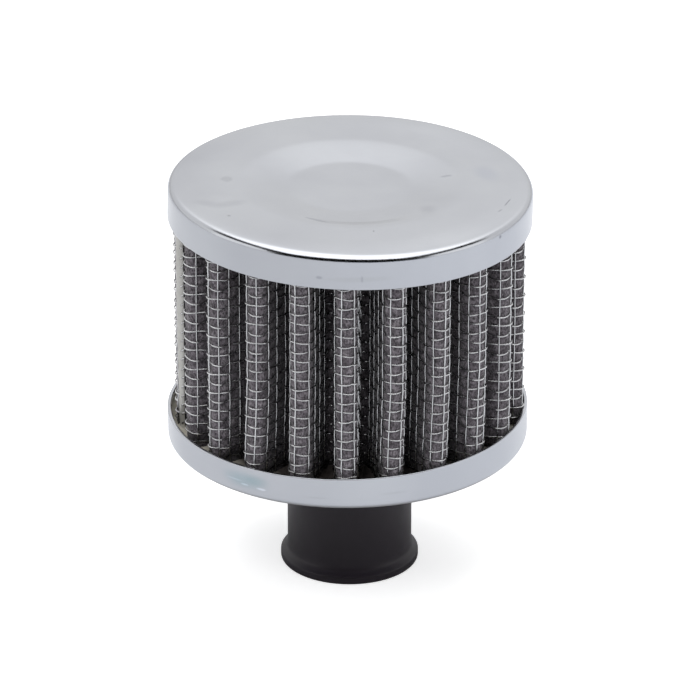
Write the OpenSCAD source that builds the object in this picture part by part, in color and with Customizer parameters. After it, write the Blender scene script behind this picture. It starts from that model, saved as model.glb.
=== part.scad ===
// Clamp-on breather air filter: a pleated gauze pack between two pressed
// steel end caps, on a moulded rubber neck. The origin is the centre of the
// neck's open end, +Z runs up through the filter, and all sizes are in mm.

/* [End caps] */
// Outside diameter of both caps
cap_d = 51; // [50.4:0.1:60]
// Height of the top cap's skirt
skirt_h = 5; // [3.8:0.05:8]
// Height of the bottom cap's rim
rim_h = 4.5; // [3.5:0.05:8]
// Height of the pack that shows between the caps
open_h = 28.9; // [20:0.05:60]
// Thickness of the pressed sheet
sheet_t = 0.5; // [0.3:0.05:0.7]
// Outside radius of the bottom cap's pressed corner
corner_r = 0.8; // [0.75:0.05:1.5]
// Outside radius of the top cap's tight corner
edge_r = 0.55; // [0.55:0.05:0.9]
// Radius of the soft shoulder above that corner
shoulder_r = 2.8; // [1.5:0.1:5]
// Angle that the shoulder turns through before the corner
shoulder_turn = 30; // [10:1:40]
// How much the top cap's skirt widens towards its open edge
skirt_flare = 0.1; // [0:0.05:0.3]

/* [Dish in the top cap] */
// Diameter of the flat floor of the dish
dish_d = 20.5; // [12:0.5:26]
// Diameter where the dish begins
dish_mouth_d = 35.5; // [30:0.5:42]
// Full depth of the dish
dish_depth = 0.7; // [0.4:0.05:1.2]
// Height of the short step round the dish's floor
dish_step_h = 0.15; // [0.05:0.05:0.35]
// Width of that step
dish_step_w = 1.3; // [0.4:0.1:2]

/* [Neck] */
// Diameter of the bore that goes over the pipe
bore_d = 12; // [8:0.5:13]
// Outside diameter of the neck
neck_d = 17.6; // [17:0.1:20]
// Length of the neck below the bottom cap
neck_l = 19.8; // [12:0.1:40]
// Diameter of the lip at the open end
lip_d = 19.6; // [19:0.1:23]
// Height of the lip's full width
lip_h = 1.2; // [0.8:0.1:3]
// Height of the slope from the lip to the neck
lip_slope_h = 0.7; // [0.3:0.1:2]
// Radius of the fillet under the bottom cap
root_r = 1.6; // [0.5:0.1:3]
// Diameter of the hole in the bottom cap
hole_d = 16.8; // [15.6:0.1:16.9]
// Diameter of the flange inside the bottom cap
flange_d = 25; // [20:0.5:27]
// Thickness of that flange
flange_t = 0.8; // [0.5:0.1:1]
// Chamfer round the mouth of the bore
mouth_chamfer = 0.5; // [0.2:0.1:1]

/* [Pleated pack] */
// Number of pleats
pleat_count = 21; // [15:1:22]
// Turn of the first pleat from the front
pleat_phase = -1.3; // [-8:0.1:8]
// Clearance between the pack and the walls of the caps
pack_gap = 0.35; // [0.25:0.05:0.8]
// Width of the rounded tip of a pleat
tip_w = 3.45; // [3.15:0.05:3.7]
// Diameter at the bottom of the valleys
valley_d = 33.2; // [32:0.2:38]
// Width of a valley at its bottom
valley_w = 0.9; // [0.5:0.05:1.3]
// Thickness of the gauze
gauze_t = 0.6; // [0.3:0.05:0.7]

/* [Wire screens] */
// Diameter of the wire
wire_d = 0.25; // [0.18:0.01:0.26]
// Spacing of the wires that run round the pack
row_pitch = 1.42; // [1.1:0.01:3]
// Height of the lowest row in sight, above the bottom cap's rim
row_start = 1.3; // [0.6:0.05:1.4]
// Wires from one modelled row to the next
row_step = 2; // [2:1:4]
// Meshes from one open mesh to the next on a pleat, the others being blind
open_step = 4; // [4:1:8]

/* [Potting] */
// Thickness of the potting in the bottom cap
bottom_potting_t = 1.4; // [1.2:0.1:2.4]
// Thickness of the potting in the top cap
top_potting_t = 2.9; // [2.4:0.1:3.6]
// Potting left under the pack's lower end
seat_t = 0.4; // [0.2:0.05:0.6]

/* [Seam strip] */
// Pleat that carries the seam, counted from the front
seam_pleat = -5; // [-7:1:7]
// Angle from the pleat's tip to the strip's outer edge
strip_start = 48; // [30:1:60]
// Thickness of the strip
strip_t = 0.2; // [0.15:0.05:0.4]

/* [Hidden] */
$fn = 96;

// Clearance between pieces that seat on each other
fit = 0.02;
// Small overlap that lets a cut run past a face
past = 0.2;

// Heights, from the neck's mouth up
ring_z = neck_l;
floor_z = ring_z + sheet_t;
rim_z = ring_z + rim_h;
skirt_z = rim_z + open_h;
top_z = skirt_z + skirt_h;
ceiling_z = top_z - sheet_t;
flange_z = floor_z + fit + flange_t;
bottom_potting_z = floor_z + bottom_potting_t;
top_potting_z = ceiling_z - top_potting_t;
pack_z = floor_z + seat_t;
pack_top_z = ceiling_z - dish_depth - seat_t / 2;

// Radii
cap_r = cap_d / 2;
bore_r = bore_d / 2;
neck_r = neck_d / 2;
lip_r = lip_d / 2;
hole_r = hole_d / 2;
flange_r = flange_d / 2;
dish_r = dish_d / 2;
dish_mouth_r = dish_mouth_d / 2;
pack_r = cap_r - sheet_t - pack_gap;
valley_r = valley_d / 2;

// How far each layer of the pack lies inside the outer screen's surface
gauze_inset = 2 * wire_d + fit;
inner_screen_inset = gauze_inset + gauze_t + fit;
pack_inset = inner_screen_inset + wire_d;

function arc(centre, radius, start, end, steps) = [for (i = [0 : steps])
    let (angle = start + (end - start) * i / steps)
    centre + radius * [cos(angle), sin(angle)]];

// One pleat points along +X: a round tip, and flanks that lean out to the valleys
half_pitch = 180 / pleat_count;
tip_r = tip_w / 2;
tip_x = pack_r - tip_r;
valley_corner = [valley_r * cos(half_pitch) + valley_w / 2 * sin(half_pitch),
    valley_r * sin(half_pitch) - valley_w / 2 * cos(half_pitch)];
tip_to_valley = valley_corner - [tip_x, 0];
tip_angle = atan2(tip_to_valley.y, tip_to_valley.x) - acos(tip_r / norm(tip_to_valley));

// Where the flank meets the valley's bottom, on the surface at this inset
function valley_point(inset) =
    let (
        flank_normal = [cos(tip_angle), sin(tip_angle)],
        valley_normal = [cos(half_pitch), sin(half_pitch)],
        flank_at = flank_normal.x * tip_x + tip_r - inset,
        valley_at = valley_r - inset,
        cross_z = flank_normal.x * valley_normal.y - flank_normal.y * valley_normal.x
    )
    [(flank_at * valley_normal.y - valley_at * flank_normal.y) / cross_z,
        (flank_normal.x * valley_at - valley_normal.x * flank_at) / cross_z];

function turned(point, angle) = [point.x * cos(angle) - point.y * sin(angle),
    point.x * sin(angle) + point.y * cos(angle)];

function pleat_angle(k) = -90 + pleat_phase + 2 * half_pitch * k;

// One pleat's outline, then the whole star
tip_steps = 4;
function pleat(inset) =
    let (corner = valley_point(inset))
    concat([[corner.x, -corner.y]],
        arc([tip_x, 0], tip_r - inset, -tip_angle, tip_angle, tip_steps),
        [corner]);

function star(inset) = [for (k = [0 : pleat_count - 1])
    for (point = pleat(inset)) turned(point, pleat_angle(k))];

// Meshes lie on the two facets either side of the wire along the tip
facet_angle = tip_angle / tip_steps;
facet_x = tip_r * cos(facet_angle);
mesh_w = 2 * tip_r * sin(facet_angle) - 1.5 * wire_d;

// Rows of wire between the caps, the lowest one hidden behind the rim
row_gap = row_step * row_pitch;
first_row_z = rim_z + row_start - row_gap;
row_count = ceil((skirt_z - first_row_z) / row_gap);

function backwards(points) = [for (i = [len(points) - 1 : -1 : 0]) points[i]];

// The dish falls in a smooth curve from its mouth to the step round its floor
dish_curve_steps = 6;
dish_step_r = dish_r + dish_step_w;
dish_curve_h = dish_depth - dish_step_h;

function dish_curve(inset) = [for (i = [0 : dish_curve_steps])
    let (part = i / dish_curve_steps)
    [dish_step_r + (dish_mouth_r - dish_step_r) * part,
        top_z - inset - dish_curve_h * (1 + cos(180 * part)) / 2]];

// The top turns down in a soft shoulder, and then in a tight corner
shoulder_end = 90 - shoulder_turn;
edge_to_shoulder = (shoulder_r - edge_r) * [cos(shoulder_end), sin(shoulder_end)];
edge_centre = [cap_r - skirt_flare - edge_r, top_z - shoulder_r + edge_to_shoulder.y];
shoulder_centre = edge_centre - edge_to_shoulder;

// The skirt leans out by the flare between its corner and its open edge
function skirt_r(z) = cap_r - skirt_flare * (z - skirt_z) / (edge_centre.y - skirt_z);

// The top cap's surface from the axis down to end_z, inset into the sheet
function top_cap_side(inset, end_z) = concat(
    [[0, top_z - dish_depth - inset], [dish_r, top_z - dish_depth - inset]],
    dish_curve(inset),
    arc(shoulder_centre, shoulder_r - inset, 90, shoulder_end, 4),
    arc(edge_centre, edge_r - inset, shoulder_end - 15, 0, 3),
    [[skirt_r(end_z) - inset, end_z]]);

module revolve(points) {
    rotate_extrude() polygon(points);
}

module top_cap() {
    color("silver")
    revolve(concat(top_cap_side(0, skirt_z), backwards(top_cap_side(sheet_t, skirt_z))));
}

module bottom_cap() {
    corner = [cap_r - corner_r, ring_z + corner_r];
    color("silver")
    revolve(concat(
        [[hole_r, floor_z], [hole_r, ring_z]],
        arc(corner, corner_r, -90, 0, 5),
        [[cap_r, rim_z], [cap_r - sheet_t, rim_z]],
        arc(corner, corner_r - sheet_t, 0, -90, 5)));
}

module neck() {
    lip_edge_r = lip_h / 4;
    color("dimgray")
    revolve(concat(
        [[bore_r + mouth_chamfer, 0]],
        arc([lip_r - lip_edge_r, lip_edge_r], lip_edge_r, -90, 0, 4),
        [[lip_r, lip_h], [neck_r, lip_h + lip_slope_h]],
        arc([neck_r + root_r, ring_z - fit - root_r], root_r, 180, 90, 5),
        [[hole_r - fit, ring_z - fit], [hole_r - fit, floor_z + fit],
            [flange_r, floor_z + fit], [flange_r, flange_z],
            [bore_r, flange_z], [bore_r, mouth_chamfer]]));
}

// A layer of the pack, between two depths below the outer surface
module layer(outer_inset, inner_inset) {
    translate([0, 0, pack_z])
    linear_extrude(pack_top_z - pack_z)
    difference() {
        polygon(star(outer_inset));
        polygon(star(inner_inset));
    }
}

module filter_media() {
    color("gray")
    layer(gauze_inset, gauze_inset + gauze_t);
}

// Repeats a flat cut for every pleat, in the mesh above one row of wire
module mesh_row(row) {
    translate([0, 0, first_row_z + row * row_gap + wire_d])
    linear_extrude(row_gap - wire_d)
    for (k = [0 : pleat_count - 1])
        rotate(pleat_angle(k))
        children();
}

// Blind meshes stop one wire deep, and open ones go through to the gauze
module outer_screen() {
    color("lightgray")
    difference() {
        layer(0, 2 * wire_d);
        for (row = [0 : row_count - 1])
            for (side = [-1, 1]) {
                is_open = (row + side + 1) % open_step == 0;
                depth = is_open ? 2 * wire_d + past : wire_d;
                mesh_row(row)
                translate([tip_x, 0])
                rotate(side * facet_angle)
                translate([facet_x - depth, -mesh_w / 2])
                square([depth + past, mesh_w]);
            }
    }
}

// The inner screen is open at the folds that face the core
module inner_screen() {
    core_r = valley_r - pack_inset;
    color("lightgray")
    difference() {
        layer(inner_screen_inset, pack_inset);
        for (row = [0 : 2 : row_count - 1])
            mesh_row(row)
            rotate(half_pitch)
            translate([core_r - past, -mesh_w / 2])
            square([wire_d + 2 * past, mesh_w]);
    }
}

// Room that the end of the pack takes in the potting
module pack_end(from_z, to_z) {
    translate([0, 0, from_z])
    linear_extrude(to_z - from_z)
    difference() {
        polygon(star(-fit));
        polygon(star(pack_inset + fit));
    }
}

module top_potting() {
    color("black")
    difference() {
        revolve(concat([[0, top_potting_z]],
            backwards(top_cap_side(sheet_t + fit, top_potting_z))));
        pack_end(top_potting_z - past, pack_top_z + fit);
    }
}

module bottom_potting() {
    corner = [cap_r - corner_r, ring_z + corner_r];
    lap_r = flange_r - 2 * flange_t;
    color("black")
    difference() {
        revolve(concat(
            [[flange_r + fit, floor_z + fit]],
            arc(corner, corner_r - sheet_t - fit, -90, 0, 5),
            [[cap_r - sheet_t - fit, bottom_potting_z], [lap_r, bottom_potting_z],
                [lap_r, flange_z + fit], [flange_r + fit, flange_z + fit]]));
        pack_end(pack_z - fit, bottom_potting_z + past);
    }
}

// The strip is bent round the shoulder of its pleat
module seam_strip() {
    seat_r = tip_r + fit;
    color("lightgray")
    rotate([0, 0, pleat_angle(seam_pleat)])
    translate([0, 0, bottom_potting_z + fit])
    linear_extrude(top_potting_z - bottom_potting_z - 2 * fit)
    polygon(concat(
        arc([tip_x, 0], seat_r, strip_start, tip_angle, 5),
        arc([tip_x, 0], seat_r + strip_t, tip_angle, strip_start, 5)));
}

top_cap();
bottom_cap();
neck();
filter_media();
outer_screen();
inner_screen();
top_potting();
bottom_potting();
seam_strip();
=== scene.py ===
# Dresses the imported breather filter: pressed caps, a moulded neck, and a
# pleated gauze pack between two sheets of woven wire. Sizes are in mm until
# a mesh is made, and every piece stays where its solid is.

import math

import bpy
import numpy as np
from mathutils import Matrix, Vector

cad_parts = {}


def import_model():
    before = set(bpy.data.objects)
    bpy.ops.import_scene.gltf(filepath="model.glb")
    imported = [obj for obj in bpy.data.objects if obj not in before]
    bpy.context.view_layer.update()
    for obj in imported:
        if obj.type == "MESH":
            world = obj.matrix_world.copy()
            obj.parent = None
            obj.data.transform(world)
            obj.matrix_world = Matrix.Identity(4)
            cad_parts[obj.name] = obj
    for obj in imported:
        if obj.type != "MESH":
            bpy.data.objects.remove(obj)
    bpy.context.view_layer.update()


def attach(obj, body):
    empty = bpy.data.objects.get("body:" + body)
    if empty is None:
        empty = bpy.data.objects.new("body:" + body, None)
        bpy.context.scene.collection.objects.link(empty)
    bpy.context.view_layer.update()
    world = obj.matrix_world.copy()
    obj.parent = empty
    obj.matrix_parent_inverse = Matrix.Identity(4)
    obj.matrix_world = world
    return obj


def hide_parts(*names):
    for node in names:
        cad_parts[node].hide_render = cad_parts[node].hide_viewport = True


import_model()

MM = 0.001
rng = np.random.default_rng(7)

# The solids' sizes
CAP_R = 25.5
SHEET = 0.5
CORNER_R = 0.8
EDGE_R = 1.0
CROWN_R = 20.5
CROWN_SLOPE = 0.045
FLARE = 0.02
RING_Z = 19.8
FLOOR_Z = RING_Z + SHEET
RIM_Z = 24.45
SKIRT_Z = 53.03
TOP_Z = 58.07
CEILING_Z = TOP_Z - SHEET
DISH_R = 8.3
DISH_MOUTH_R = 15.9
HOLE_R = 8.4
BORE_R = 6.0
NECK_R = 8.87
LIP_R = 9.85
FLANGE_R = 12.5
FLANGE_Z = 21.12
POTTING_Z = 21.7
TOP_POTTING_Z = 54.8
PACK_Z = 20.7
PACK_TOP_Z = 56.8
FIT = 0.02
EDGE_FILLET = 0.12

# How pressed sheet strays from true: out of round, rims that twist or tilt, and
# a step on the near side of the dish
TOP_OUT_OF_ROUND = 0.03
RING_OUT_OF_ROUND = 0.02
BACK_LIFT = 0.07
DISH_STEP = 0.095
DISH_STEP_TURN = 1.5 * math.pi + 0.12
RIM_TILT = 0.0055
RING_FOOT_TILT = 0.0085

# How far each cap leans to the right, in degrees about its own height, and
# how far it sits to the right of the axis
TOP_LEAN = (1.18, 56.0, 0.127)
RING_LEAN = (-0.55, 23.0, -0.3)

# The fold of the pack
PLEATS = 21
PHASE = -1.3
PACK_R = 24.78
TIP_R = 1.725
VALLEY_R = 16.6
VALLEY_FILLET = 0.45
GAUZE_DEPTH = 0.52
GAUZE_T = 0.6
INNER_WIRE_DEPTH = 1.3

# The woven wire
WIRE_R = 0.11
WEAVE_DEPTH = 0.17
ROW_SWING = 0.19
UPRIGHT_SWING = 0.04
ROW_PITCH = 1.418
LOWEST_ROW_Z = 25.61 - 2 * ROW_PITCH
ROWS = 23
UPRIGHTS = 217
UPRIGHTS_PER_PLEAT = 10.3
SEAM_PLEAT = -5
SEAM_UPRIGHT = 175
STRIP_START = 48
STRIP_END = 80
STRIP_T = 0.2
STRIP_NARROWS_Z = 40.0
STRIP_NARROWS_OVER = 18.0
# The gauze and the wire are darker below this height
DARKER_BELOW_Z = 23.4
FOOT_BENDS_Z = 37.0
FOOT_BENDS_OVER = 13.0

# The compound creeps up the pack and the wall
PACK_HALF_T = 0.6
PACK_CREEP = 0.45
PACK_CREEP_SPREAD = 0.35
WALL_CREEP_SPREAD = 0.16

# The studio
DOME_R = 1400.0
FLOOR_HALF = 3000.0
FLOOR_SEEN = 0.63
FLOOR_SIDE = 115
FLOOR_LEFT = 0.13
FLOOR_RIGHT = 0.25
FLOOR_SHADED_R = 27
FLOOR_CLEAR_R = 42
FLOOR_TINT = (0.85, 0.95, 1.15)
WORLD_LIGHT = 0.35
WORLD_SEEN = 1.0
SENSOR_W = 36.0
LENS = 272.9
CAMERA_ELEVATION = math.radians(24.94)
CAMERA_DISTANCE = 0.750
CAMERA_X = 0.000072
CAMERA_AIM_Z = 0.0323

# What the photo shows of each pleat, counted from the front: how far it is
# turned, which upright lies on its tip, how high its rows sit, and how far
# its foot is bent aside
SEEN = {
    -5: (0.6, -51.5, -0.3, 0.0),
    -4: (1.9, -42.17, -0.1, 0.0),
    -3: (1.25, -30.84, 0.35, 0.0),
    -2: (2.6, -19.36, 0.25, -1.3),
    -1: (1.75, -9.8, 0.14, -0.35),
    0: (0.15, -0.74, 0.0, 0.0),
    1: (-0.25, 9.55, -0.2, -1.0),
    2: (-1.1, 20.94, -0.35, -0.95),
    3: (-1.7, 32.34, 0.0, -1.0),
    4: (-2.3, 41.9, -0.05, -0.5),
    5: (-0.2, 53.25, -0.6, 0.0),
}


def turn_of(k):
    return SEEN[k][0] if k in SEEN else 0.0


def upright_of(k):
    if k in SEEN:
        return SEEN[k][1]
    edge = 5 if k > 5 else -5
    return SEEN[edge][1] + (k - edge) * UPRIGHTS_PER_PLEAT


def lift_of(k):
    return SEEN[k][2] if k in SEEN else 0.0


def bend_of(k):
    return SEEN[k][3] if k in SEEN else 0.0


def mesh_piece(name, points, faces, material, slot=None, sharp=None):
    """A smooth-shaded mesh that rides with the filter; points are in mm."""
    mesh = bpy.data.meshes.new(name)
    mesh.from_pydata((np.asarray(points) * MM).tolist(), [], [list(f) for f in faces])
    mesh.polygons.foreach_set("use_smooth", [True] * len(mesh.polygons))
    mesh.materials.append(material)
    if sharp is not None:
        mesh.set_sharp_from_angle(angle=math.radians(sharp))
    piece = bpy.data.objects.new(name, mesh)
    bpy.context.collection.objects.link(piece)
    if slot is not None:
        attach(piece, "root")
    return piece


def grid_faces(rows, columns, wrap_rows=False, wrap_columns=False):
    """Quads between neighbouring points of a rows by columns grid."""
    i = np.arange(rows if wrap_rows else rows - 1)[:, None]
    j = np.arange(columns if wrap_columns else columns - 1)[None, :]
    i_next = (i + 1) % rows
    j_next = (j + 1) % columns
    quads = np.stack([i * columns + j, i * columns + j_next,
                      i_next * columns + j_next, i_next * columns + j], axis=-1)
    return quads.reshape(-1, 4)


def arc(x, z, radius, start, end, steps):
    """Points of an arc in the profile plane, angles in degrees."""
    angles = np.radians(np.linspace(start, end, steps + 1))
    return [(x + radius * math.cos(a), z + radius * math.sin(a)) for a in angles]


def lathe(profile, segments, shift=None):
    """Points and quads of a closed profile turned about the axis."""
    profile = np.asarray(profile)
    turn = np.linspace(0, 2 * math.pi, segments, endpoint=False)[None, :]
    radius = profile[:, :1] * np.ones_like(turn)
    height = profile[:, 1:] * np.ones_like(turn)
    if shift is not None:
        radius, height = shift(radius, height, turn)
    points = np.stack([radius * np.cos(turn), radius * np.sin(turn), height], axis=-1)
    faces = grid_faces(len(profile), segments, wrap_rows=True, wrap_columns=True)
    return points.reshape(-1, 3), faces[:, ::-1]


def leaned(points, lean, inner=0.0, outer=0.0):
    """Points of a cap that sits askew. What is inside the inner radius stays."""
    degrees, level, shift = lean
    turn = math.radians(degrees)
    across, up = points[:, 0], points[:, 2] - level
    moved = points.copy()
    moved[:, 0] = across * math.cos(turn) + up * math.sin(turn) + shift
    moved[:, 2] = up * math.cos(turn) - across * math.sin(turn) + level
    if outer > inner:
        radius = np.hypot(points[:, 0], points[:, 1])
        part = np.clip((radius - inner) / (outer - inner), 0, 1)[:, None]
        moved = points + (moved - points) * part
    return moved


# The path of the folded sheet, seen from above. Each tip is an arc about its
# own centre, each valley an arc the other way, and straight flanks join them.

def polar(radius, degrees):
    a = math.radians(degrees)
    return np.array([radius * math.cos(a), radius * math.sin(a)])


def tip_direction(k):
    wrapped = (k + PLEATS // 2) % PLEATS - PLEATS // 2
    return -90 + PHASE + 360 / PLEATS * k + turn_of(wrapped)


def fold_path():
    """Dense points of the outer surface with their outward normals, and the
    upright number, row lift and foot bend at each."""
    points, normals = [], []
    marks, mark_numbers, mark_lifts, mark_bends = [], [], [], []
    half = PLEATS // 2
    reach = TIP_R + VALLEY_FILLET

    def flank(tip, valley, degrees):
        """Both ends of the straight side that faces one way, and its normal."""
        normal = polar(1.0, degrees)
        return tip + TIP_R * normal, valley - VALLEY_FILLET * normal, normal

    def along(start, stop, normal):
        for part in np.linspace(0, 1, 42)[1:-1]:
            points.append(start + (stop - start) * part)
            normals.append(normal)

    for k in range(-half, half + 1):
        here = tip_direction(k)
        tip = polar(PACK_R - TIP_R, here)
        ends = []
        for side in (-1, 1):
            there = tip_direction(k + side)
            valley = polar(VALLEY_R + VALLEY_FILLET, (here + there) / 2)
            across = valley - tip
            facing = math.degrees(math.atan2(across[1], across[0]))
            lean = math.degrees(math.acos(reach / np.linalg.norm(across)))
            ends.append((valley, facing - side * lean))
        first = here + (ends[0][1] - here + 180) % 360 - 180
        last = here + (ends[1][1] - here + 180) % 360 - 180
        tip_angles = np.radians(np.linspace(first, last, 61))
        for a in tip_angles:
            normal = np.array([math.cos(a), math.sin(a)])
            points.append(tip + TIP_R * normal)
            normals.append(normal)
        marks.append(len(points) - 31)
        mark_numbers.append(upright_of(k))
        mark_lifts.append(lift_of(k))
        mark_bends.append(bend_of(k))
        # the flank down to the valley, then the first half of the valley
        valley, leaving = ends[1][0], last
        at_tip, at_valley, normal = flank(tip, valley, leaving)
        along(at_tip, at_valley, normal)
        # the valley's arc turns from this flank's normal to the next one's
        next_tip = polar(PACK_R - TIP_R, tip_direction(k + 1))
        across = valley - next_tip
        facing = math.degrees(math.atan2(across[1], across[0]))
        lean = math.degrees(math.acos(reach / np.linalg.norm(across)))
        arriving = facing + lean
        arriving = leaving + (arriving - leaving + 180) % 360 - 180
        for a in np.radians(np.linspace(leaving, arriving, 25)):
            normal = np.array([math.cos(a), math.sin(a)])
            points.append(valley - VALLEY_FILLET * normal)
            normals.append(normal)
        at_tip, at_valley, normal = flank(next_tip, valley, arriving)
        along(at_valley, at_tip, normal)
    points, normals = np.array(points), np.array(normals)
    middle = points - WEAVE_DEPTH * normals
    steps = np.linalg.norm(np.roll(middle, -1, axis=0) - middle, axis=1)
    along = np.concatenate([[0], np.cumsum(steps)])
    total = along[-1]
    marks_at = along[marks]
    marks_at = np.append(marks_at, marks_at[0] + total)
    mark_numbers.append(mark_numbers[0] + UPRIGHTS)
    mark_lifts.append(mark_lifts[0])
    mark_bends.append(mark_bends[0])
    place = along[:-1].copy()
    place[place < marks_at[0]] += total
    numbers = np.interp(place, marks_at, mark_numbers)
    lifts = np.interp(place, marks_at, mark_lifts)
    bends = np.interp(place, marks_at, mark_bends)
    order = np.argsort(numbers)
    return points[order], normals[order], numbers[order], lifts[order], bends[order], total


PATH_POINTS, PATH_NORMALS, PATH_NUMBERS, PATH_LIFTS, PATH_BENDS, PATH_LENGTH = fold_path()


def along_path(number, values):
    """Values kept for each path point, read by upright number round the loop."""
    base = PATH_NUMBERS[0]
    wrapped = (np.asarray(number) - base) % UPRIGHTS + base
    return np.interp(wrapped, np.append(PATH_NUMBERS, base + UPRIGHTS), np.append(values, values[0]))


def on_path(number, depth):
    """Places on the folded sheet by upright number, at a depth below its outside."""
    x = along_path(number, PATH_POINTS[:, 0])
    y = along_path(number, PATH_POINTS[:, 1])
    nx = along_path(number, PATH_NORMALS[:, 0])
    ny = along_path(number, PATH_NORMALS[:, 1])
    size = np.hypot(nx, ny)
    nx, ny = nx / size, ny / size
    return x - depth * nx, y - depth * ny, nx, ny, along_path(number, PATH_LIFTS)


def footed(number, x, y, height):
    """Turns the foot of each pleat aside, as the photo shows it."""
    bend = along_path(number, PATH_BENDS)
    a = np.radians(bend * np.clip((FOOT_BENDS_Z - height) / FOOT_BENDS_OVER, 0, 1))
    return x * np.cos(a) - y * np.sin(a), x * np.sin(a) + y * np.cos(a)


def tube(line, across, radius, sides, closed):
    """A round wire along a line; across is a sideways direction at each point."""
    ahead = np.roll(line, -1, axis=0) - np.roll(line, 1, axis=0)
    if not closed:
        ahead[0] = line[1] - line[0]
        ahead[-1] = line[-1] - line[-2]
    ahead = ahead / np.linalg.norm(ahead, axis=1, keepdims=True)
    across = across - ahead * np.sum(ahead * across, axis=1, keepdims=True)
    across = across / np.linalg.norm(across, axis=1, keepdims=True)
    up = np.cross(ahead, across)
    angles = np.linspace(0, 2 * math.pi, sides, endpoint=False) + math.pi / sides
    ring = (across[:, None, :] * np.cos(angles)[None, :, None]
            + up[:, None, :] * np.sin(angles)[None, :, None])
    points = (line[:, None, :] + radius * ring).reshape(-1, 3)
    faces = [tuple(f) for f in grid_faces(len(line), sides, wrap_rows=closed, wrap_columns=True)]
    if not closed:
        faces.append(tuple(range(sides))[::-1])
        last = len(points) - sides
        faces.append(tuple(range(last, last + sides)))
    return points, faces


def joined(parts):
    """One list of points and faces from several."""
    points, faces, count = [], [], 0
    for part_points, part_faces in parts:
        points.append(part_points)
        faces.extend(tuple(int(i) + count for i in f) for f in part_faces)
        count += len(part_points)
    return np.vstack(points), faces


def row_heights(row, number, lift):
    """Heights of one row of wire, with the small wander of woven wire."""
    height = LOWEST_ROW_Z + row * ROW_PITCH + lift
    turn = 2 * math.pi * number / UPRIGHTS
    for waves, size in ((23, 0.05), (41, 0.04), (67, 0.03)):
        height = height + size * np.sin(waves * turn + rng.uniform(0, 2 * math.pi))
    return height


def row_wire(row, depth, swing, samples_each, sides):
    number = np.arange(UPRIGHTS * samples_each) / samples_each
    sway = swing * np.cos(math.pi * (number + row))
    x, y, nx, ny, lift = on_path(number, depth + sway)
    height = row_heights(row, number, lift)
    x, y = footed(number, x, y, height)
    line = np.stack([x, y, height], axis=1)
    across = np.stack([nx, ny, np.zeros_like(nx)], axis=1)
    return tube(line, across, WIRE_R, sides, closed=True)


def upright_wire(index, depth, swing, sides):
    rows = np.arange(-1, 2 * ROWS + 1) / 2
    height = LOWEST_ROW_Z + rows * ROW_PITCH
    height = np.clip(height, PACK_Z, PACK_TOP_Z)
    drift = 0.02 * np.sin(rows * 0.5 + rng.uniform(0, 2 * math.pi)) + rng.normal(0, 0.02)
    sway = -swing * np.cos(math.pi * (index + rows))
    x, y, nx, ny, lift = on_path(index + drift, depth + sway)
    x, y = footed(index + drift, x, y, height)
    line = np.stack([x, y, height + lift * 0.5], axis=1)
    across = np.stack([nx, ny, np.zeros_like(nx)], axis=1)
    return tube(line, across, WIRE_R, sides, closed=False)


# Materials

LARGE_MARK = 1.4

# Handling marks on the caps, and one patch of painted shade: the middle of each, its half sizes along,
# across and up, how far it is turned, and how it tints the metal. The first and largest is painted shade on
# the top's left side, where it reflects less light.
MARKS_AND_SHADE = [
    # painted shade: dims the left of the top cap, where its reflection is darker
    ((-25.0, 0.0, 58.4), (10.0, 17.0, 1.5), 0, (0.915, 0.915, 0.925)),
    ((-17.1, 0.3, 58.4), (0.95, 1.3, 1.5), 20, (0.88, 0.88, 0.88)),
    ((-19.2, -8.7, 58.5), (2.6, 1.3, 1.5), -25, (0.925, 0.925, 0.93)),
    ((-16.2, -8.2, 58.4), (2.6, 1.3, 1.5), 28, (0.925, 0.925, 0.93)),
    ((-16.5, -12.6, 58.4), (0.3, 0.4, 1.5), 0, (0.82, 0.82, 0.82)),
    ((-4.4, -13.1, 58.1), (2.2, 0.45, 1.5), -30, (0.80, 0.81, 0.83)),
    ((13.5, 3.2, 57.8), (0.95, 0.45, 1.5), 10, (0.84, 0.84, 0.85)),
    ((21.85, -5.9, 57.6), (1.6, 0.15, 1.5), 70, (0.66, 0.66, 0.67)),
    ((20.75, -8.7, 57.6), (0.8, 0.2, 1.5), 60, (0.82, 0.82, 0.82)),
    ((3.3, -16.8, 58.0), (0.14, 0.32, 1.5), 0, (0.70, 0.70, 0.70)),
    ((10.8, -8.5, 57.9), (1.6, 2.0, 1.5), 0, (0.90, 0.90, 0.91)),
    ((19.1, 3.9, 57.7), (2.2, 3.4, 1.5), 20, (0.92, 0.93, 0.96)),
    ((-4.1, -25.1, 54.8), (0.5, 1.0, 0.25), 5, (0.80, 0.80, 0.82)),
    ((1.7, -25.4, 54.6), (0.2, 1.0, 0.6), 0, (0.84, 0.84, 0.86)),
    ((20.5, -15.0, 56.4), (0.35, 1.0, 0.3), 52, (0.60, 0.60, 0.62)),
    ((0.8, -25.4, 54.6), (7.0, 1.5, 0.5), 0, (0.95, 0.95, 0.94)),
    ((-4.6, -25.1, 21.5), (2.6, 1.0, 0.25), -10, (0.94, 0.94, 0.94)),
    ((6.3, -24.7, 22.0), (2.7, 1.0, 0.25), 14, (0.94, 0.94, 0.94)),
    ((-14.7, -20.8, 22.2), (4.5, 1.5, 1.6), -35, (0.78, 0.88, 0.90)),
    ((-12.9, -22.0, 22.6), (2.2, 1.5, 1.0), -31, (0.88, 0.93, 0.93)),
    ((-15.9, -19.9, 22.0), (1.8, 1.5, 0.16), -38, (1.20, 1.20, 1.20)),
    ((-14.4, -21.0, 21.6), (0.7, 1.5, 0.16), -34, (1.32, 1.32, 1.32)),
    ((-12.2, -22.4, 21.5), (0.9, 1.5, 0.2), -29, (1.35, 1.35, 1.36)),
]


def material(name):
    made = bpy.data.materials.new(name)
    made.use_nodes = True
    nodes = made.node_tree.nodes
    return made, nodes, made.node_tree.links, nodes["Principled BSDF"]


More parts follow.
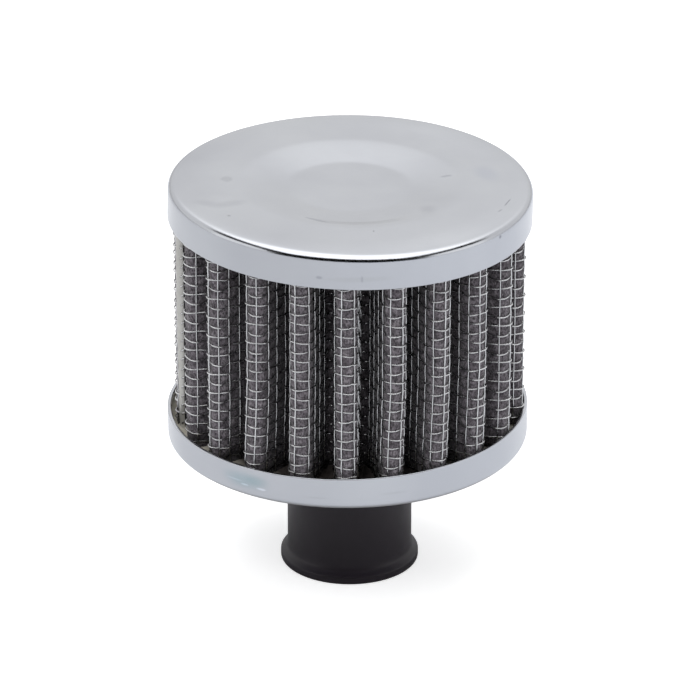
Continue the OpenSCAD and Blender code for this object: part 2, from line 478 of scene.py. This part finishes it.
def noise(nodes, links, scale, detail=3.0, stretch=None):
    """Noise over the object's own coordinates, scale in waves per metre."""
    place = nodes.new("ShaderNodeTexCoord")
    source = place.outputs["Object"]
    if stretch is not None:
        mapping = nodes.new("ShaderNodeMapping")
        mapping.inputs["Scale"].default_value = stretch
        links.new(source, mapping.inputs["Vector"])
        source = mapping.outputs["Vector"]
    made = nodes.new("ShaderNodeTexNoise")
    made.inputs["Scale"].default_value = scale
    made.inputs["Detail"].default_value = detail
    links.new(source, made.inputs["Vector"])
    return made.outputs["Fac"]


def ramp(nodes, links, source, stops):
    """Maps 0 to 1 to colours; each stop is a place and a colour."""
    made = nodes.new("ShaderNodeValToRGB")
    elements = made.color_ramp.elements
    while len(elements) < len(stops):
        elements.new(0.5)
    for element, (place, colour) in zip(elements, stops):
        element.position = place
        element.color = (*colour, 1.0)
    links.new(source, made.inputs["Fac"])
    return made.outputs["Color"]


def grey(value):
    return (value, value, value)


def span(nodes, links, source, low, high):
    """Turns 0 to 1 into low to high."""
    made = nodes.new("ShaderNodeMapRange")
    made.inputs["To Min"].default_value = low
    made.inputs["To Max"].default_value = high
    links.new(source, made.inputs["Value"])
    return made.outputs["Result"]


def bump(nodes, links, source, distance, strength=1.0, under=None):
    made = nodes.new("ShaderNodeBump")
    made.inputs["Distance"].default_value = distance
    made.inputs["Strength"].default_value = strength
    links.new(source, made.inputs["Height"])
    if under is not None:
        links.new(under, made.inputs["Normal"])
    return made.outputs["Normal"]


def marked_and_shaded(nodes, links, colour):
    """The colour with the handling marks and the painted shade on it. Their edges are uneven."""
    place = nodes.new("ShaderNodeTexCoord")
    ragged = span(nodes, links, noise(nodes, links, 1100, 4), -0.4, 0.4)
    smooth = span(nodes, links, noise(nodes, links, 160, 2), -0.25, 0.25)
    for middle, half, turn, tint in MARKS_AND_SHADE:
        large = half[0] * half[1] > LARGE_MARK
        around = nodes.new("ShaderNodeMapping")
        around.vector_type = "TEXTURE"
        around.inputs["Location"].default_value = [value * MM for value in middle]
        around.inputs["Rotation"].default_value = (0, 0, math.radians(turn))
        around.inputs["Scale"].default_value = [value * MM for value in half]
        links.new(place.outputs["Object"], around.inputs["Vector"])
        away = nodes.new("ShaderNodeVectorMath")
        away.operation = "LENGTH"
        links.new(around.outputs["Vector"], away.inputs[0])
        uneven = nodes.new("ShaderNodeMath")
        links.new(away.outputs["Value"], uneven.inputs[0])
        links.new(smooth if large else ragged, uneven.inputs[1])
        inside = nodes.new("ShaderNodeMapRange")
        inside.interpolation_type = "SMOOTHSTEP"
        inside.inputs["From Min"].default_value = 1.1
        inside.inputs["From Max"].default_value = 0.2 if large else 0.45
        links.new(uneven.outputs[0], inside.inputs["Value"])
        tinted = nodes.new("ShaderNodeMix")
        tinted.data_type = "RGBA"
        tinted.blend_type = "MULTIPLY"
        links.new(inside.outputs["Result"], tinted.inputs["Factor"])
        links.new(colour, tinted.inputs[6])
        tinted.inputs[7].default_value = (*tint, 1.0)
        colour = tinted.outputs[2]
    return colour


def cap_material():
    made, nodes, links, shader = material("cap_steel")
    shader.inputs["Metallic"].default_value = 1.0
    cloud = noise(nodes, links, 70, 4)
    colour = ramp(nodes, links, cloud, [(0.3, (0.45, 0.462, 0.495)), (0.7, (0.50, 0.513, 0.542))])
    colour = marked_and_shaded(nodes, links, colour)
    links.new(colour, shader.inputs["Base Color"])
    links.new(span(nodes, links, noise(nodes, links, 160, 5), 0.13, 0.24), shader.inputs["Roughness"])
    waves = bump(nodes, links, noise(nodes, links, 55, 1), 0.0006, 0.12)
    grain = bump(nodes, links, noise(nodes, links, 2500, 2), 0.00002, 0.3, under=waves)
    links.new(grain, shader.inputs["Normal"])
    return made


def rubber_material():
    made, nodes, links, shader = material("neck_rubber")
    cloud = noise(nodes, links, 120, 4)
    colour = ramp(nodes, links, cloud, [(0.3, (0.0085, 0.0045, 0.0095)), (0.7, (0.013, 0.008, 0.0145))])
    links.new(colour, shader.inputs["Base Color"])
    shader.inputs["Specular IOR Level"].default_value = 0.41
    links.new(span(nodes, links, noise(nodes, links, 300, 3), 0.38, 0.52), shader.inputs["Roughness"])
    grain = bump(nodes, links, noise(nodes, links, 3500, 2), 0.00003, 0.4)
    links.new(grain, shader.inputs["Normal"])
    return made


def by_radius(nodes, links, inner, outer):
    """Nought inside the inner radius, rising to one at the outer."""
    place = nodes.new("ShaderNodeTexCoord")
    flat = nodes.new("ShaderNodeVectorMath")
    flat.operation = "MULTIPLY"
    flat.inputs[1].default_value = (1, 1, 0)
    links.new(place.outputs["Object"], flat.inputs[0])
    radius = nodes.new("ShaderNodeVectorMath")
    radius.operation = "LENGTH"
    links.new(flat.outputs["Vector"], radius.inputs[0])
    made = nodes.new("ShaderNodeMapRange")
    made.inputs["From Min"].default_value = inner * MM
    made.inputs["From Max"].default_value = outer * MM
    links.new(radius.outputs["Value"], made.inputs["Value"])
    return made.outputs["Result"]


def by_height(nodes, links, low, high):
    """Nought below the lower height, rising to one at the upper."""
    place = nodes.new("ShaderNodeTexCoord")
    axes = nodes.new("ShaderNodeSeparateXYZ")
    links.new(place.outputs["Object"], axes.inputs["Vector"])
    made = nodes.new("ShaderNodeMapRange")
    made.inputs["From Min"].default_value = low * MM
    made.inputs["From Max"].default_value = high * MM
    links.new(axes.outputs["Z"], made.inputs["Value"])
    return made.outputs["Result"]


def times(nodes, links, colour, other):
    """One colour multiplied by another."""
    made = nodes.new("ShaderNodeMix")
    made.data_type = "RGBA"
    made.blend_type = "MULTIPLY"
    made.inputs["Factor"].default_value = 1.0
    links.new(colour, made.inputs[6])
    links.new(other, made.inputs[7])
    return made.outputs[2]


def darkened(nodes, links, colour, share, least):
    """The colour, down to the least part of it where the share is nought."""
    return times(nodes, links, colour, ramp(nodes, links, share, [(0.0, grey(least)), (1.0, grey(1.0))]))


def gauze_material():
    made, nodes, links, shader = material("gauze")
    cloud = noise(nodes, links, 900, 5)
    colour = ramp(nodes, links, cloud, [(0.28, (0.10, 0.087, 0.101)), (0.5, (0.20, 0.178, 0.205)),
                                        (0.72, (0.37, 0.338, 0.375))])
    pits = ramp(nodes, links, noise(nodes, links, 4000, 4, stretch=(1.0, 1.0, 0.6)),
                [(0.38, grey(0.3)), (0.56, grey(1.0))])
    # painted shade: the gauze darkens to half its colour towards the valleys
    valley_shade = by_radius(nodes, links, 20.6, 23.4)
    colour = times(nodes, links, colour, pits)
    colour = darkened(nodes, links, colour, valley_shade, 0.5)
    # the gauze is darker towards the bottom of the pack
    lower_band = by_height(nodes, links, DARKER_BELOW_Z, DARKER_BELOW_Z + 0.7)
    colour = darkened(nodes, links, colour, lower_band, 0.38)
    links.new(colour, shader.inputs["Base Color"])
    shader.inputs["Roughness"].default_value = 0.95
    shader.inputs["Sheen Weight"].default_value = 0.2
    fibre = noise(nodes, links, 5000, 4, stretch=(1.0, 1.0, 0.35))
    fuzz = bump(nodes, links, fibre, 0.00025, 0.9)
    lumps = bump(nodes, links, noise(nodes, links, 1500, 3), 0.0004, 0.8, under=fuzz)
    links.new(lumps, shader.inputs["Normal"])
    return made


def wire_material():
    made, nodes, links, shader = material("screen_wire")
    shader.inputs["Metallic"].default_value = 1.0
    cloud = noise(nodes, links, 250, 3)
    colour = ramp(nodes, links, cloud, [(0.3, (0.51, 0.51, 0.515)), (0.7, (0.67, 0.67, 0.675))])
    # the wire is darker towards the bottom of the pack
    lower_band = by_height(nodes, links, DARKER_BELOW_Z, DARKER_BELOW_Z + 0.5)
    colour = darkened(nodes, links, colour, lower_band, 0.25)
    links.new(colour, shader.inputs["Base Color"])
    links.new(span(nodes, links, noise(nodes, links, 800, 2), 0.18, 0.34), shader.inputs["Roughness"])
    drawn = noise(nodes, links, 6000, 2)
    links.new(bump(nodes, links, drawn, 0.00002, 0.5), shader.inputs["Normal"])
    return made


def potting_material():
    made, nodes, links, shader = material("potting")
    cloud = noise(nodes, links, 350, 4)
    # Painted shade and light: the compound is dark inside 20.4 mm, as shade in the valleys, and its
    # olive-beige is raised to a pale colour out by the wall, as painted light where the pack and cap shade
    # it.
    colour = ramp(nodes, links, cloud, [(0.3, (0.045, 0.038, 0.036)), (0.7, (0.085, 0.074, 0.068))])
    pale_lit = ramp(nodes, links, cloud, [(0.3, (0.58, 0.565, 0.49)), (0.7, (0.76, 0.715, 0.63))])
    mixed = nodes.new("ShaderNodeMix")
    mixed.data_type = "RGBA"
    links.new(by_radius(nodes, links, 20.4, 23.0), mixed.inputs["Factor"])
    links.new(colour, mixed.inputs[6])
    links.new(pale_lit, mixed.inputs[7])
    links.new(mixed.outputs[2], shader.inputs["Base Color"])
    links.new(span(nodes, links, noise(nodes, links, 500, 3), 0.35, 0.6), shader.inputs["Roughness"])
    links.new(bump(nodes, links, noise(nodes, links, 900, 4), 0.0002, 0.5), shader.inputs["Normal"])
    return made


def seam_material():
    made, nodes, links, shader = material("seam_metal")
    shader.inputs["Metallic"].default_value = 0.4
    cloud = noise(nodes, links, 300, 4)
    colour = ramp(nodes, links, cloud, [(0.3, (0.52, 0.51, 0.485)), (0.7, (0.66, 0.655, 0.63))])
    links.new(colour, shader.inputs["Base Color"])
    links.new(span(nodes, links, noise(nodes, links, 900, 2), 0.35, 0.5), shader.inputs["Roughness"])
    links.new(bump(nodes, links, noise(nodes, links, 700, 2), 0.0001, 0.4), shader.inputs["Normal"])
    return made


cap_steel = cap_material()
neck_rubber = rubber_material()
gauze = gauze_material()
screen_wire = wire_material()
potting = potting_material()
seam_metal = seam_material()


# Caps

def dish_side(depth):
    """The top cap's upper surface at a depth below it, from the axis outwards."""
    radii = np.concatenate([np.linspace(0.02, DISH_R, 8), np.arange(DISH_R + 0.2, DISH_MOUTH_R + 0.3, 0.2)])
    slopes = np.interp(radii, [DISH_R, DISH_R + 0.9, DISH_R + 5.2, DISH_R + 6.5, DISH_MOUTH_R],
                       [0.0, 0.115, 0.10, 0.08, 0.0])
    rises = np.diff(radii) * (slopes[1:] + slopes[:-1]) / 2
    heights = np.concatenate([[0], np.cumsum(rises)])
    return [(r, TOP_Z - depth + h - heights[-1]) for r, h in zip(radii, heights)]


def thinned(side):
    """Every third point of a hidden side, and its last."""
    return side[:-1:3] + side[-1:]


def top_cap():
    wall_r = CAP_R - FLARE
    corner_r = wall_r - EDGE_R
    start_slope = math.degrees(math.atan(CROWN_SLOPE))
    profile = dish_side(0)
    # the rim falls away a little before its corner
    for part in np.linspace(0, 1, 9):
        r = CROWN_R + (corner_r + EDGE_R * math.sin(math.radians(start_slope)) - CROWN_R) * part
        profile.append((r, TOP_Z - CROWN_SLOPE / 2 * (r - CROWN_R) * part))
    corner_z = profile[-1][1] - EDGE_R * math.cos(math.radians(start_slope))
    profile += arc(corner_r, corner_z, EDGE_R, 90 - start_slope, 0, 16)[1:]
    profile += [(CAP_R - FLARE * part, SKIRT_Z + (corner_z - SKIRT_Z) * part)
                for part in (0.75, 0.5, 0.25, 0.1)]
    profile += arc(CAP_R - EDGE_FILLET, SKIRT_Z + EDGE_FILLET, EDGE_FILLET, 0, -90, 4)
    profile += arc(CAP_R - SHEET + EDGE_FILLET, SKIRT_Z + EDGE_FILLET, EDGE_FILLET, -90, -180, 4)
    profile += [(wall_r - SHEET, corner_z)]
    profile += arc(corner_r, corner_z, EDGE_R - SHEET, 0, 90, 6)[1:]
    profile += thinned(dish_side(SHEET)[::-1])

    def waver(radius, height, turn):
        """A pressed cap is never quite round or flat."""
        radius = radius + TOP_OUT_OF_ROUND * np.sin(2 * turn + 0.6) * (radius > 20)
        high = np.clip((height - SKIRT_Z) / (TOP_Z - SKIRT_Z), 0, 1)
        edge = np.clip((radius - 19) / 5, 0, 1)
        twist = (0.005 + 0.009 * high) * radius * np.cos(turn) * np.sin(turn)
        height = height + (twist + BACK_LIFT * np.clip(np.sin(turn), 0, 1) * high) * edge
        off = np.degrees(np.abs(turn - DISH_STEP_TURN))
        window = np.interp(off, [19, 36], [1, 0])
        step = np.interp(radius, [9.0, 13.1, 14.7], [0, 1, 0])
        return radius, height - DISH_STEP * window * step

    points, faces = lathe(profile, 512, waver)
    piece = mesh_piece("top_cap_pressed", leaned(points, TOP_LEAN), faces, cap_steel, "cap_steel", sharp=40)
    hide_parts("top_cap")


def bottom_cap():
    corner = (CAP_R - CORNER_R, RING_Z + CORNER_R)
    profile = [(HOLE_R, FLOOR_Z - 0.1), (HOLE_R, RING_Z + 0.1), (HOLE_R + 0.1, RING_Z)]
    profile += [(r, RING_Z) for r in (10.0, 14.0, 18.0, 22.0)]
    profile += arc(*corner, CORNER_R, -90, 0, 12)
    profile += [(CAP_R, z) for z in (22.0, 23.0, 24.0)]
    profile += arc(CAP_R - EDGE_FILLET, RIM_Z - EDGE_FILLET, EDGE_FILLET, 0, 90, 5)
    profile += arc(CAP_R - SHEET + EDGE_FILLET, RIM_Z - EDGE_FILLET, EDGE_FILLET, 90, 180, 5)
    profile += arc(*corner, CORNER_R - SHEET, 0, -90, 6)
    profile += [(r, FLOOR_Z) for r in (22.0, 14.0)]
    profile += [(HOLE_R + 0.1, FLOOR_Z)]

    def waver(radius, height, turn):
        """The ring's rim and foot tilt by different amounts."""
        radius = radius + RING_OUT_OF_ROUND * np.sin(2 * turn + 2.0) * (radius > 20)
        high = np.clip((height - RING_Z) / (RIM_Z - RING_Z), 0, 1)
        edge = np.clip((radius - 19) / 5, 0, 1)
        across = radius * np.cos(turn)
        return radius, height + (RIM_TILT * high - RING_FOOT_TILT * (1 - high)) * across * edge

    points, faces = lathe(profile, 512, waver)
    points = leaned(points, RING_LEAN, NECK_R + 1.6, 20.0)
    piece = mesh_piece("bottom_cap_pressed", points, faces, cap_steel, "cap_steel", sharp=40)
    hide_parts("bottom_cap")


def neck():
    lip_h = 1.2
    slope_h = 0.7
    edge_r = 0.3
    root_r = 1.6
    top = RING_Z - FIT
    profile = [(BORE_R, 0.5), (BORE_R + 0.15, 0.15), (BORE_R + 0.5, 0.0)]
    profile += arc(LIP_R - edge_r, edge_r, edge_r, -90, 0, 6)
    profile += arc(LIP_R - edge_r, lip_h - edge_r + 0.1, edge_r, 0, 60, 5)
    profile += [(NECK_R + 0.35, lip_h + slope_h - 0.35), (NECK_R + 0.12, lip_h + slope_h - 0.08),
                (NECK_R + 0.02, lip_h + slope_h + 0.15)]
    profile += [(NECK_R, z) for z in (3.0, 6.0, 10.0, 14.0, 17.0)]
    profile += arc(NECK_R + root_r, top - root_r, root_r, 180, 90, 8)
    profile += [(HOLE_R - FIT, top), (HOLE_R - FIT, FLOOR_Z + FIT), (FLANGE_R, FLOOR_Z + FIT),
                (FLANGE_R, FLANGE_Z - 0.2), (FLANGE_R - 0.2, FLANGE_Z), (BORE_R + 0.2, FLANGE_Z),
                (BORE_R, FLANGE_Z - 0.2), (BORE_R, 11.0)]
    points, faces = lathe(profile, 192)
    piece = mesh_piece("neck_moulded", points, faces, neck_rubber, "neck_rubber", sharp=50)
    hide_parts("neck")


# Pack

def outer_screen():
    half = ROWS // 2
    for name, rows in (("outer_rows_low", range(half)), ("outer_rows_high", range(half, ROWS))):
        points, faces = joined([row_wire(row, WEAVE_DEPTH, ROW_SWING, 4, 5) for row in rows])
        piece = mesh_piece(name, points, faces, screen_wire, "screen_wire")
        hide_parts("outer_screen")
    points, faces = joined([upright_wire(index, WEAVE_DEPTH, UPRIGHT_SWING, 5)
                            for index in range(UPRIGHTS) if index != SEAM_UPRIGHT])
    piece = mesh_piece("outer_uprights", points, faces, screen_wire, "screen_wire")
    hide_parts("outer_screen")


def inner_screen():
    rows = [row_wire(row, INNER_WIRE_DEPTH, 0.1, 3, 3) for row in range(ROWS)]
    uprights = [upright_wire(index, INNER_WIRE_DEPTH, 0.03, 3) for index in range(UPRIGHTS)]
    points, faces = joined(rows + uprights)
    piece = mesh_piece("inner_screen_woven", points, faces, screen_wire, "screen_wire")
    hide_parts("inner_screen")


def filter_media():
    """Gauze between the screens. It swells a little into each mesh."""
    samples_each = 4
    swell = 0.2
    number = np.arange(UPRIGHTS * samples_each) / samples_each
    levels = np.arange(0, 4 * (ROWS + 1) + 1) / 4 - 1
    heights = np.clip(LOWEST_ROW_Z + levels * ROW_PITCH, PACK_Z, PACK_TOP_Z)
    outside = []
    for level, height in zip(levels, heights):
        pillow = np.abs(np.sin(math.pi * number)) * abs(math.sin(math.pi * level))
        pillow = pillow * swell + rng.normal(0, 0.02, len(number))
        x, y, _, _, lift = on_path(number, GAUZE_DEPTH - pillow - 0.1)
        x, y = footed(number, x, y, height)
        shown = 0.0 if level in (levels[0], levels[-1]) else 1.0
        outside.append(np.stack([x, y, np.full_like(x, height) + lift * shown], axis=1))
    inside = []
    for height in np.linspace(PACK_TOP_Z, PACK_Z, 9):
        x, y, _, _, _ = on_path(number, GAUZE_DEPTH + GAUZE_T)
        x, y = footed(number, x, y, height)
        inside.append(np.stack([x, y, np.full_like(x, height)], axis=1))
    points = np.vstack(outside + inside)
    faces = grid_faces(len(outside) + len(inside), len(number), wrap_rows=True, wrap_columns=True)
    piece = mesh_piece("gauze_pleated", points, faces, gauze, "gauze")
    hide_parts("filter_media")


def narrowed(height):
    """How far the strip has narrowed at a height, from nought to one."""
    return np.clip((STRIP_NARROWS_Z - height) / STRIP_NARROWS_OVER, 0, 1)


def seam_strip():
    """A light strip bent round the seam pleat's shoulder, a little narrower lower down."""
    facing = tip_direction(SEAM_PLEAT)
    centre = polar(PACK_R - TIP_R, facing)
    heights = np.linspace(POTTING_Z - 0.3, TOP_POTTING_Z + 0.3, 161)
    parts = np.linspace(0, 1, 9)
    rows = []
    for height in heights:
        low = narrowed(height)
        wave = 0.03 * math.sin(height * 1.1) + 0.02 * math.sin(height * 2.7 + 1.0)
        angles = np.radians(facing + STRIP_START + 7 * low
                            + (STRIP_END - STRIP_START - 10 * low) * parts)
        belly = np.sin(math.pi * parts) * 0.06
        outer = TIP_R + FIT + STRIP_T + wave + belly
        inner = np.full_like(angles, TIP_R + FIT)
        radii = np.concatenate([outer, inner])
        angles = np.concatenate([angles, angles[::-1]])
        rows.append(np.stack([centre[0] + radii * np.cos(angles), centre[1] + radii * np.sin(angles),
                              np.full_like(angles, height)], axis=1))
    faces = [tuple(f) for f in grid_faces(len(rows), len(rows[0]), wrap_columns=True)]
    count = len(rows[0])
    faces.append(tuple(range(count))[::-1])
    faces.append(tuple(range((len(rows) - 1) * count, len(rows) * count)))
    piece = mesh_piece("seam_strip_bent", np.vstack(rows), faces, seam_metal, "seam_metal", sharp=50)
    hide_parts("seam_strip")


def seam_hooks():
    """The rows' ends, hooked over the strip's edge."""
    facing = tip_direction(SEAM_PLEAT)
    centre = polar(PACK_R - TIP_R, facing)
    parts = []
    for row in range(ROWS):
        height = LOWEST_ROW_Z + row * ROW_PITCH + lift_of(SEAM_PLEAT) + rng.normal(0, 0.05)
        if height < POTTING_Z + 0.5 or height > SKIRT_Z + 1:
            continue
        low = narrowed(height)
        edge = STRIP_END - 3 * low
        angles = np.radians(facing + edge + np.array([16, 9, 2, -5, -11]))
        radii = TIP_R + np.array([0.0, 0.16, 0.40, 0.42, 0.33])
        rise = np.array([-0.1, 0.12, 0.22, 0.1, -0.14])
        line = np.stack([centre[0] + radii * np.cos(angles), centre[1] + radii * np.sin(angles),
                         height + rise], axis=1)
        across = np.stack([np.cos(angles), np.sin(angles), np.zeros_like(angles)], axis=1)
        parts.append(tube(line, across, WIRE_R * 0.9, 6, closed=False))
    points, faces = joined(parts)
    piece = mesh_piece("seam_hooks", points, faces, screen_wire, "screen_wire")
    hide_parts("outer_screen")


def distance_to_pack(x, y):
    """Distance from points to the fold of the pack, along the flat."""
    path = PATH_POINTS[::4] - PACK_HALF_T * PATH_NORMALS[::4]
    shape = x.shape
    flat = np.stack([x.ravel(), y.ravel()], axis=1)
    nearest = np.empty(len(flat))
    for start in range(0, len(flat), 4000):
        part = flat[start:start + 4000]
        gaps = np.linalg.norm(part[:, None, :] - path[None, :, :], axis=2)
        nearest[start:start + 4000] = gaps.min(axis=1)
    return nearest.reshape(shape)


def potting_piece(name, node, profile, segments, top_rows, direction, wall_creep, lean,
                  inner=0.0, outer=0.0):
    """A ring of compound that creeps up what it touches."""
    def creep(radius, height, turn):
        x, y = radius * np.cos(turn), radius * np.sin(turn)
        rise = np.zeros_like(radius)
        shown = slice(top_rows[0], top_rows[1])
        gap = distance_to_pack(x[shown], y[shown])
        wall = CAP_R - SHEET - radius[shown]
        rise[shown] = (PACK_CREEP * np.exp(-np.maximum(gap - PACK_HALF_T, 0) / PACK_CREEP_SPREAD)
                       + wall_creep * np.exp(-wall / WALL_CREEP_SPREAD))
        return radius, height + direction * rise
    points, faces = lathe(profile, segments, creep)
    points = leaned(points, lean, inner, outer)
    piece = mesh_piece(name, points, faces, potting, "potting", sharp=60)
    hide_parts(node)


def pottings():
    wall = CAP_R - SHEET - FIT
    corner = (CAP_R - CORNER_R, RING_Z + CORNER_R)
    lap_r = FLANGE_R - 1.6
    shown = 44
    profile = [(r, POTTING_Z) for r in np.linspace(lap_r, wall, shown)]
    profile += arc(*corner, CORNER_R - SHEET - FIT, 0, -90, 4)
    profile += [(FLANGE_R + FIT, FLOOR_Z + FIT), (FLANGE_R + FIT, FLANGE_Z + FIT),
                (lap_r, FLANGE_Z + FIT)]
    count = len(profile)
    potting_piece("bottom_potting_cured", "bottom_potting", profile[::-1], 720,
                  (count - shown, count), 1, 1.9, RING_LEAN, NECK_R + 1.6, 20.0)
    shown = 70
    profile = [(r, TOP_POTTING_Z) for r in np.linspace(0.02, wall, shown)]
    profile += [(wall, SKIRT_Z + 3.0), (wall - 1.0, CEILING_Z - FIT)]
    profile += [(r, z - FIT) for r, z in thinned(dish_side(SHEET)[::-1])]
    potting_piece("top_potting_cured", "top_potting", profile, 480, (0, shown), -1, 0.5, TOP_LEAN)


outer_screen()
inner_screen()
filter_media()
seam_strip()
seam_hooks()
top_cap()
bottom_cap()
neck()
pottings()


# Studio

def stage():
    """A white floor that keeps the shadow, and is dimmer in reflections."""
    made, nodes, links, shader = material("floor")
    path = nodes.new("ShaderNodeLightPath")
    shader.inputs["Base Color"].default_value = (0.86, 0.86, 0.86, 1)
    shader.inputs["Roughness"].default_value = 0.9
    shader.inputs["Specular IOR Level"].default_value = 0.1
    seen = nodes.new("ShaderNodeMath")
    seen.operation = "MULTIPLY"
    seen.inputs[1].default_value = FLOOR_SEEN
    links.new(path.outputs["Is Camera Ray"], seen.inputs[0])
    place = nodes.new("ShaderNodeTexCoord")
    axes = nodes.new("ShaderNodeSeparateXYZ")
    links.new(place.outputs["Object"], axes.inputs["Vector"])
    brighter = nodes.new("ShaderNodeMapRange")
    brighter.inputs["From Min"].default_value = -FLOOR_SIDE * MM
    brighter.inputs["From Max"].default_value = FLOOR_SIDE * MM
    brighter.inputs["To Min"].default_value = FLOOR_LEFT
    brighter.inputs["To Max"].default_value = FLOOR_RIGHT
    links.new(axes.outputs["X"], brighter.inputs["Value"])
    away = nodes.new("ShaderNodeVectorMath")
    away.operation = "LENGTH"
    links.new(place.outputs["Object"], away.inputs[0])
    shaded = nodes.new("ShaderNodeMapRange")
    shaded.inputs["From Min"].default_value = FLOOR_SHADED_R * MM
    shaded.inputs["From Max"].default_value = FLOOR_CLEAR_R * MM
    links.new(away.outputs["Value"], shaded.inputs["Value"])
    near = nodes.new("ShaderNodeMath")
    near.operation = "MULTIPLY"
    links.new(brighter.outputs["Result"], near.inputs[0])
    links.new(shaded.outputs["Result"], near.inputs[1])
    # In reflections the floor glows: a painted reflection, brighter to the right, that fades out near the
    # filter as a painted shadow.
    reflected = nodes.new("ShaderNodeMath")
    reflected.operation = "MULTIPLY_ADD"
    links.new(near.outputs[0], reflected.inputs[1])
    links.new(path.outputs["Is Glossy Ray"], reflected.inputs[0])
    links.new(seen.outputs[0], reflected.inputs[2])
    links.new(reflected.outputs[0], shader.inputs["Emission Strength"])
    tint = ramp(nodes, links, path.outputs["Is Glossy Ray"], [(0.0, grey(1.0)), (1.0, FLOOR_TINT)])
    links.new(tint, shader.inputs["Emission Color"])
    points = [(x * FLOOR_HALF, y * FLOOR_HALF, 0) for x, y in ((-1, -1), (1, -1), (1, 1), (-1, 1))]
    floor = mesh_piece("floor", points, [(0, 1, 2, 3)], made)


def room_level(side, pitch):
    """Brightness of the room in one direction. Pitch runs from the front's
    horizon, over the top, to the back's, and side turns away to left or right."""
    back = np.interp(pitch, [0, 155, 160, 167, 173, 180], [1.0, 1.0, 0.975, 0.955, 0.72, 0.7])
    up = math.cos(math.radians(side)) * math.sin(math.radians(pitch))
    behind = -math.cos(math.radians(side)) * math.cos(math.radians(pitch))
    x = abs(math.sin(math.radians(side))) / max(up, 0.01)
    y = behind / max(up, 0.01)
    # a soft box overhead, brightest in front and fading towards the back
    fade = np.interp(y, [0.3, 0.466, 0.7, 1.07, 1.33, 1.73, 2.14], [1.3, 1.0, 0.6, 0.34, 0.30, 0.13, 0.0])
    box = fade * np.interp(x, [0.62, 0.86], [1.0, 0.0]) * np.interp(y, [-0.98, -0.9], [0.0, 1.0])
    box = max(box, fade * np.interp(y, [0.7, 1.07], [0.0, 1.0]) * np.interp(x, [0.5, 1.3], [1.0, 0.0]))
    # the dark room that the camera stands in, and the gaps beside the soft box
    width = np.interp(pitch, [0, 45, 75, 90, 105], [46.0, 48.0, 56.0, 60.0, 56.0])
    dark = np.interp(abs(side), [width - 1.5, width + 1.5], [1.0, 0.0])
    dark *= np.interp(y, [0.25, 0.35], [1.0, 0.0]) * (1 - min(box / 0.5, 1.0))
    wall = 0.35 * np.interp(abs(side), [width, width + 4], [0.0, 1.0])
    wall *= np.interp(pitch, [4, 20, 80, 100], [0, 1, 1, 0])
    return (back + box + wall) * (1 - dark)


def reflected_room():
    """A dome that only reflections see, bright overhead and dark in front."""
    made, nodes, links, shader = material("reflected_room")
    shader.inputs["Base Color"].default_value = (0, 0, 0, 1)
    shader.inputs["Specular IOR Level"].default_value = 0.0
    shader.inputs["Emission Color"].default_value = (1, 1, 1, 1)
    stored = nodes.new("ShaderNodeAttribute")
    stored.attribute_name = "level"
    links.new(stored.outputs["Fac"], shader.inputs["Emission Strength"])
    pitches = np.linspace(0, 180, 181)
    sides = np.linspace(-89, 89, 179)
    points, levels = [], []
    for pitch in pitches:
        for side in sides:
            a, b = math.radians(side), math.radians(pitch)
            points.append((DOME_R * math.sin(a), -DOME_R * math.cos(a) * math.cos(b),
                           DOME_R * math.cos(a) * math.sin(b) + 0.5))
            levels.append(max(float(room_level(side, pitch)), 0.0))
    dome = mesh_piece("reflected_room", points, grid_faces(len(pitches), len(sides)), made)
    attribute = dome.data.attributes.new("level", "FLOAT", "POINT")
    attribute.data.foreach_set("value", levels)
    dome.visible_camera = False
    dome.visible_diffuse = False
    dome.visible_shadow = False
    dome.visible_transmission = False


def lamp(name, size, power, place, aim=(0, 0, 0.035)):
    """A rectangular lamp that reflections don't show. Its sizes are in metres."""
    data = bpy.data.lights.new(name, "AREA")
    data.shape = "RECTANGLE"
    data.size, data.size_y = size
    data.energy = power
    made = bpy.data.objects.new(name, data)
    bpy.context.collection.objects.link(made)
    made.location = place
    made.visible_glossy = False
    direction = np.array(aim) - np.array(place)
    made.rotation_euler = Vector(direction).to_track_quat("-Z", "Y").to_euler()


def world():
    """An even light, white where it is seen."""
    made = bpy.data.worlds.new("studio")
    bpy.context.scene.world = made
    made.use_nodes = True
    nodes, links = made.node_tree.nodes, made.node_tree.links
    background = nodes["Background"]
    path = nodes.new("ShaderNodeLightPath")
    seen = None
    for ray in ("Is Camera Ray", "Is Glossy Ray", "Is Transmission Ray"):
        if seen is None:
            seen = path.outputs[ray]
            continue
        either = nodes.new("ShaderNodeMath")
        either.operation = "MAXIMUM"
        links.new(seen, either.inputs[0])
        links.new(path.outputs[ray], either.inputs[1])
        seen = either.outputs[0]
    level = nodes.new("ShaderNodeMapRange")
    level.inputs["To Min"].default_value = WORLD_LIGHT
    level.inputs["To Max"].default_value = WORLD_SEEN
    links.new(seen, level.inputs["Value"])
    links.new(level.outputs["Result"], background.inputs["Strength"])
    background.inputs["Color"].default_value = (1, 1, 1, 1)


def camera():
    data = bpy.data.cameras.new("camera")
    made = bpy.data.objects.new("camera", data)
    bpy.context.collection.objects.link(made)
    data.sensor_width = SENSOR_W
    data.lens = LENS
    data.clip_start = 0.01
    data.clip_end = 20.0
    made.location = (CAMERA_X, -CAMERA_DISTANCE * math.cos(CAMERA_ELEVATION),
                     CAMERA_AIM_Z + CAMERA_DISTANCE * math.sin(CAMERA_ELEVATION))
    made.rotation_euler = (math.pi / 2 - CAMERA_ELEVATION, 0, 0)
    bpy.context.scene.camera = made


stage()
world()
lamp("overhead", (1.0, 0.62), 5.4, (0.0, 0.33, 0.9))
lamp("front_high", (0.4, 0.4), 3.0, (-0.3, -0.7, 0.9))
lamp("right_fill", (0.5, 0.5), 0.8, (0.7, -0.45, 0.55))
lamp("back_high", (0.9, 0.28), 0.18, (0.0, 0.84, 0.66))
reflected_room()
camera()

bpy.context.scene.view_settings.view_transform = "Standard"
